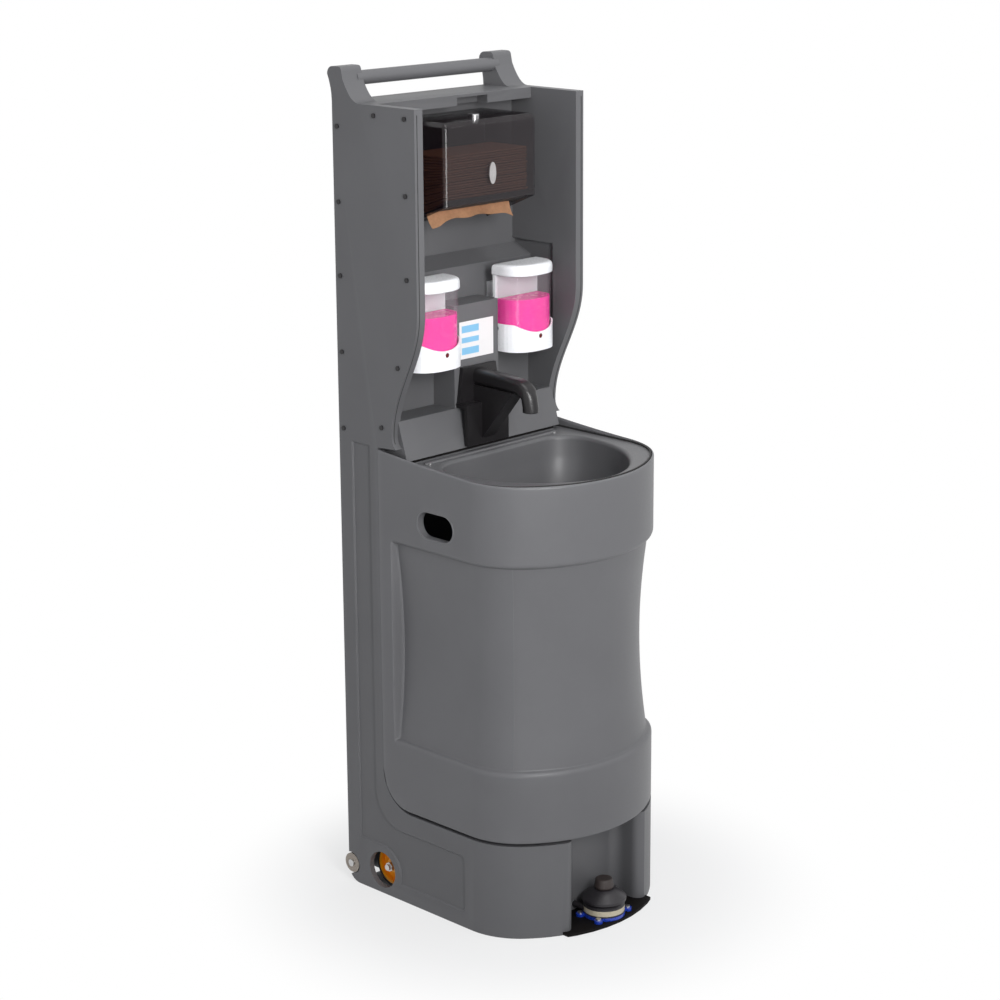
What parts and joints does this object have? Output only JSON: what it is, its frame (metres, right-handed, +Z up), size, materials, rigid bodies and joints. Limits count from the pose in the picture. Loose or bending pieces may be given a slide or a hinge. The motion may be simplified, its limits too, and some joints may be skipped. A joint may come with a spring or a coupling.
{
  "type": "hand-wash station",
  "caption": "Free-standing hand-wash station: moulded column with alcove, pull-off sink housing, foot pump, towel and soap dispensers, rear wheels.",
  "frame": {"origin": "middle of the footprint, on the floor", "axes": "+Z up, the bowl and the pump face -Y, +X to the right for a person who faces the front"},
  "size_m": [0.434, 0.523, 1.56],
  "materials": {
    "grey_poly": "moulded grey polyethylene with a fine grain",
    "sink_poly": "moulded grey polyethylene, slightly satin",
    "black_plastic": "satin black",
    "black_rubber": "matt black",
    "tyre_rubber": "matt black with a rounded tread",
    "orange_plastic": "satin orange",
    "steel": "zinc-plated, brushed",
    "chrome": "polished",
    "blue_metal": "gloss blue paint",
    "cream_plastic": "satin cream",
    "knob_plastic": "matt brown-grey",
    "smoke_plastic": "clear smoked, glossy",
    "inner_plastic": "matt dark grey",
    "badge_metal": "satin, plain",
    "towel_paper": "brown layered paper",
    "sheet_paper": "tan paper",
    "white_plastic": "satin white",
    "clear_plastic": "translucent",
    "pink_liquid": null,
    "red_window": "dark red, clear",
    "label_film": "plain white film",
    "hose_plastic": "clear, slightly milky",
    "can_plastic": "natural polyethylene",
    "waste_plastic": "grey polyethylene",
    "cap_plastic": "blue",
    "roller_plastic": "beige nylon"
  },
  "bodies": {
    "station": {"housing": "grey_poly", "alcove_liner": "grey_poly", "rear_panel": "grey_poly", "handle_bar": "grey_poly", "side_screws": "black_plastic", "label_plate": "label_film", "base_plate": "black_rubber", "pump_bracket": "blue_metal", "pump_ring": "cream_plastic", "pump_screws": "steel", "axle": "steel", "axle_nuts": "steel", "roller_bolts": "steel", "splash_seal": "black_rubber", "fresh_tank": "can_plastic", "fresh_cap": "cap_plastic", "waste_tank": "waste_plastic", "waste_collar": "black_plastic", "suction_hose": "hose_plastic", "feed_hose": "hose_plastic", "spout_bracket": "black_plastic", "spout_arm": "black_plastic", "spout_outlet": "chrome", "towel_back": "inner_plastic", "towel_stack": "towel_paper", "hanging_towel": "sheet_paper", "towel_pins": "steel", "soap_base_left": "white_plastic", "soap_tank_left": "clear_plastic", "soap_fill_left": "pink_liquid", "soap_nozzle_left": "chrome", "soap_window_left": "red_window", "soap_base_right": "white_plastic", "soap_tank_right": "clear_plastic", "soap_fill_right": "pink_liquid", "soap_nozzle_right": "chrome", "soap_window_right": "red_window"},
    "cabinet": {"cabinet_shell": "sink_poly", "basin": "sink_poly", "drain_flange": "chrome", "drain_tail": "black_plastic", "deck_screws": "steel"},
    "towel_door": {"towel_cover": "smoke_plastic", "towel_badge": "badge_metal"},
    "towel_key": {"towel_lock": "chrome"},
    "soap_cap_left": {"soap_lid_left": "white_plastic"},
    "soap_cap_right": {"soap_lid_right": "white_plastic"},
    "catch_left_out": {"soap_catches_left_out": "black_plastic"},
    "catch_left_in": {"soap_catches_left_in": "black_plastic"},
    "catch_right_out": {"soap_catches_right_out": "black_plastic"},
    "catch_right_in": {"soap_catches_right_in": "black_plastic"},
    "plunger": {"pump_dome": "black_rubber", "pump_knob": "knob_plastic", "pump_spring": "steel"},
    "wheel_left": {"hub_left": "orange_plastic", "tyre_left": "tyre_rubber"},
    "wheel_right": {"hub_right": "orange_plastic", "tyre_right": "tyre_rubber"},
    "roller_left": {"roller_left": "roller_plastic"},
    "roller_right": {"roller_right": "roller_plastic"}
  },
  "joints": [
    {"name": "cabinet_pull", "type": "slide", "parent": "station", "child": "cabinet", "axis": [0, -1, 0], "range_m": [0, 0.41]},
    {"name": "towel_door_hinge", "type": "hinge", "parent": "station", "child": "towel_door", "pos_m": [0, 0.1905, 1.271], "axis": [1, 0, 0], "range_deg": [0, 35]},
    {"name": "towel_key_turn", "type": "hinge", "parent": "towel_door", "child": "towel_key", "pos_m": [0, 0.1065, 1.463], "axis": [0, 0, 1], "range_deg": [0, 90]},
    {"name": "soap_cap_left_hinge", "type": "hinge", "parent": "station", "child": "soap_cap_left", "pos_m": [-0.1215, 0.1265, 1.162], "axis": [-1, 0, 0], "range_deg": [0, 50]},
    {"name": "soap_cap_right_hinge", "type": "hinge", "parent": "station", "child": "soap_cap_right", "pos_m": [0.1215, 0.1265, 1.162], "axis": [-1, 0, 0], "range_deg": [0, 50]},
    {"name": "catch_left_out_push", "type": "slide", "parent": "station", "child": "catch_left_out", "axis": [1, 0, 0], "range_m": [0, 0.0012], "stiffness_N_per_m": 400, "springref_m": -0.0004},
    {"name": "catch_left_in_push", "type": "slide", "parent": "station", "child": "catch_left_in", "axis": [-1, 0, 0], "range_m": [0, 0.0012], "stiffness_N_per_m": 400, "springref_m": -0.0004},
    {"name": "catch_right_out_push", "type": "slide", "parent": "station", "child": "catch_right_out", "axis": [-1, 0, 0], "range_m": [0, 0.0012], "stiffness_N_per_m": 400, "springref_m": -0.0004},
    {"name": "catch_right_in_push", "type": "slide", "parent": "station", "child": "catch_right_in", "axis": [1, 0, 0], "range_m": [0, 0.0012], "stiffness_N_per_m": 400, "springref_m": -0.0004},
    {"name": "pump_press", "type": "slide", "parent": "station", "child": "plunger", "axis": [0, 0, -1], "range_m": [0, 0.01], "stiffness_N_per_m": 1500, "springref_m": -0.002, "deforming": ["pump_spring"]},
    {"name": "wheel_left_spin", "type": "hinge", "parent": "station", "child": "wheel_left", "pos_m": [-0.1765, 0.1515, 0.049], "axis": [1, 0, 0], "continuous": true},
    {"name": "wheel_right_spin", "type": "hinge", "parent": "station", "child": "wheel_right", "pos_m": [0.1765, 0.1515, 0.049], "axis": [1, 0, 0], "continuous": true},
    {"name": "roller_left_spin", "type": "hinge", "parent": "station", "child": "roller_left", "pos_m": [-0.2065, 0.2425, 0.035], "axis": [1, 0, 0], "continuous": true},
    {"name": "roller_right_spin", "type": "hinge", "parent": "station", "child": "roller_right", "pos_m": [0.2065, 0.2425, 0.035], "axis": [1, 0, 0], "continuous": true}
  ]
}
